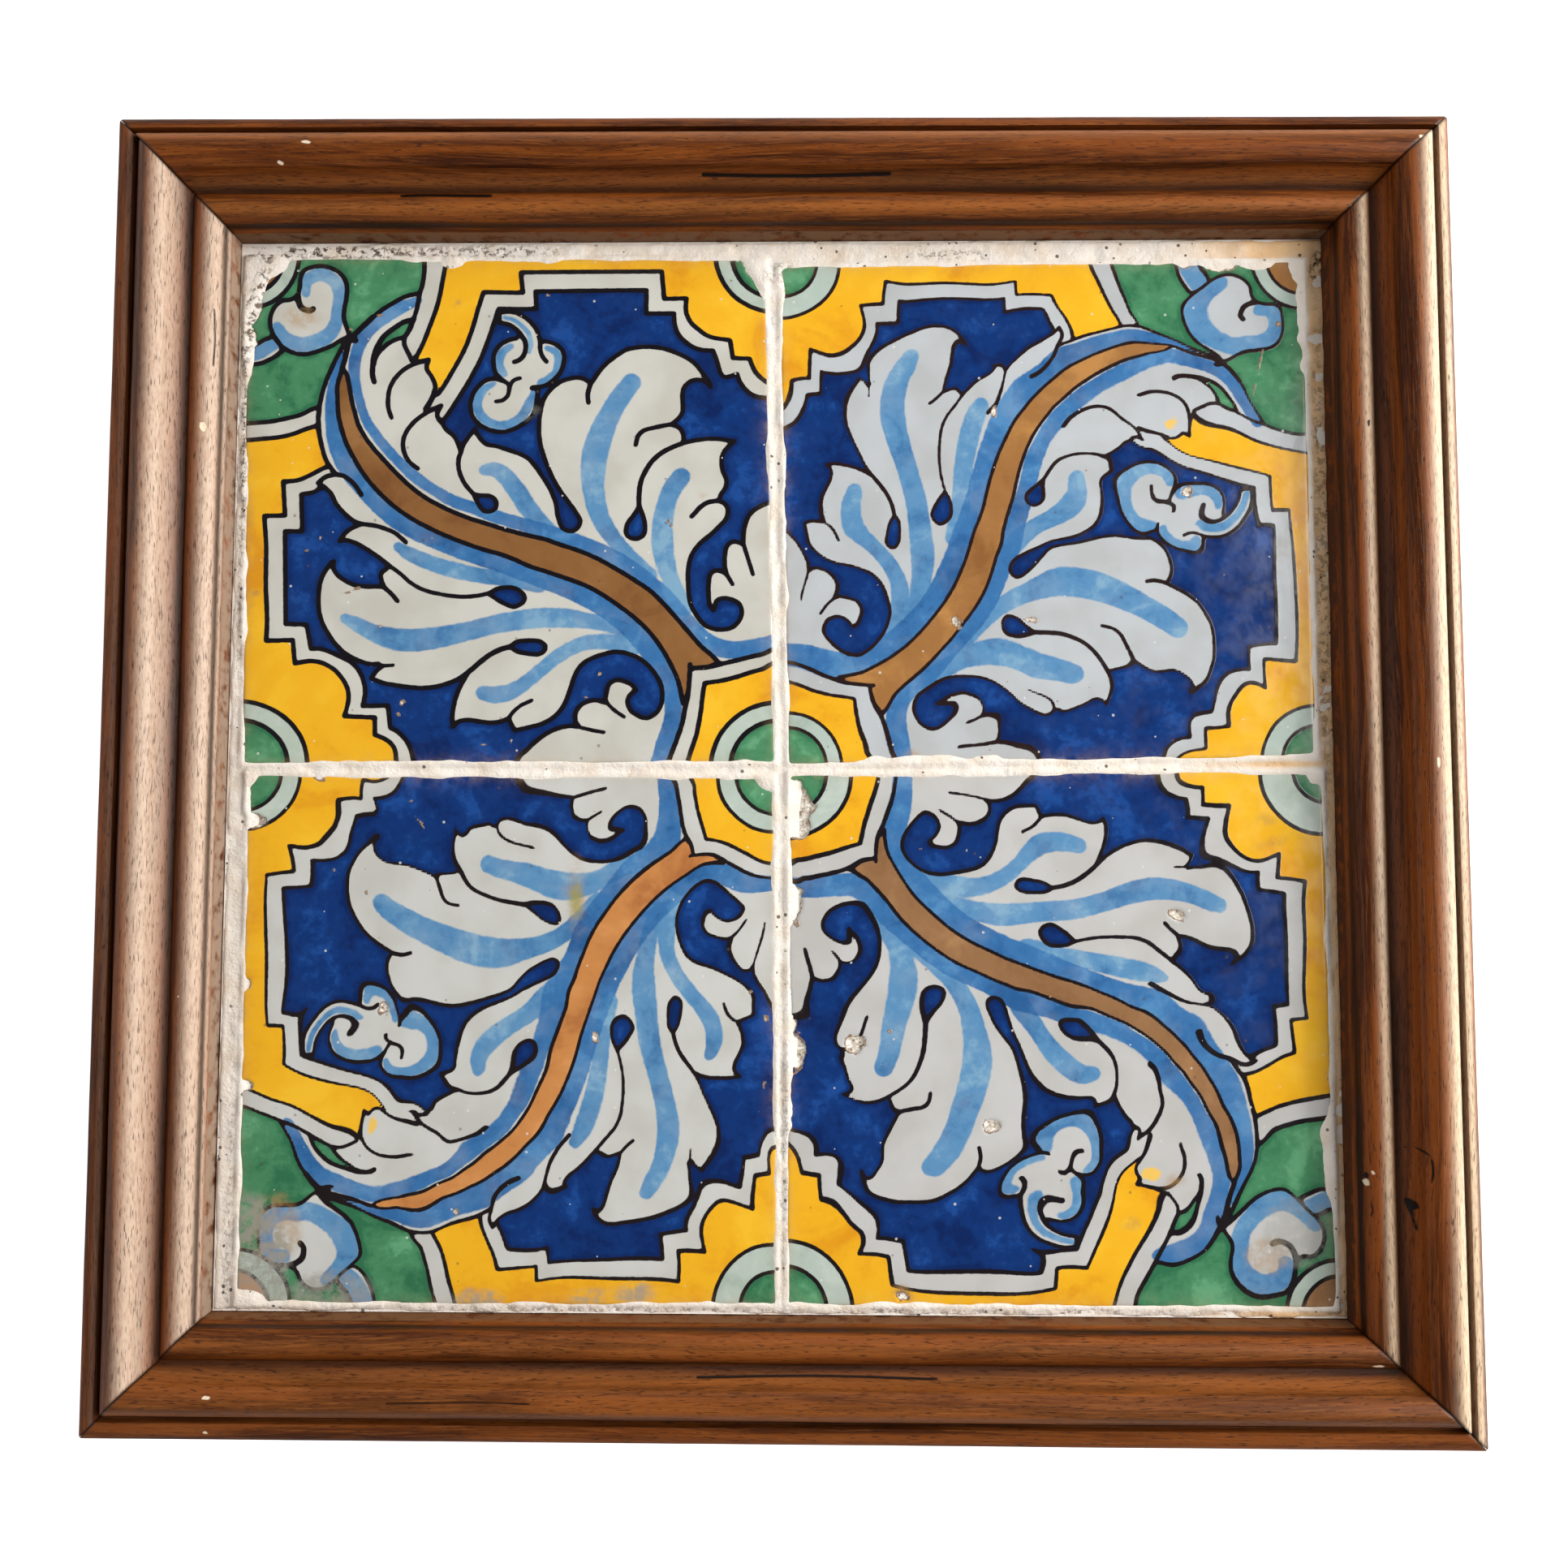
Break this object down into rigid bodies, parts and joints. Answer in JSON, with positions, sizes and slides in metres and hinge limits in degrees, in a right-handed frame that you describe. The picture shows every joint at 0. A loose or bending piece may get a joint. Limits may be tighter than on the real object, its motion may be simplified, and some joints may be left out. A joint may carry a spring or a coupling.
{
  "type": "framed azulejo tile panel",
  "caption": "Shallow square panel of painted glazed tiles bedded in white plaster inside a mitred, moulded walnut-coloured wooden frame with a thin board behind.",
  "frame": {"origin": "on the floor under the middle of the frame; the panel lies on its back", "axes": "+X to the right of the picture, +Y to its top, +Z out of the glazed faces"},
  "size_m": [0.35, 0.341, 0.0344],
  "materials": {
    "frame_wood": "dark walnut stain, worn satin",
    "back_board": "bare thin sheet",
    "glazed_tile": "tin glaze painted in blue, yellow, green and brown",
    "plaster": "white plaster, matt"
  },
  "bodies": {
    "root": {"rail_left": "frame_wood", "rail_right": "frame_wood", "rail_bottom": "frame_wood", "rail_top": "frame_wood", "back_board": "back_board", "tile_top_left": "glazed_tile", "tile_top_right": "glazed_tile", "tile_bottom_left": "glazed_tile", "tile_bottom_right": "glazed_tile", "plaster_bed": "plaster"}
  },
  "joints": []
}
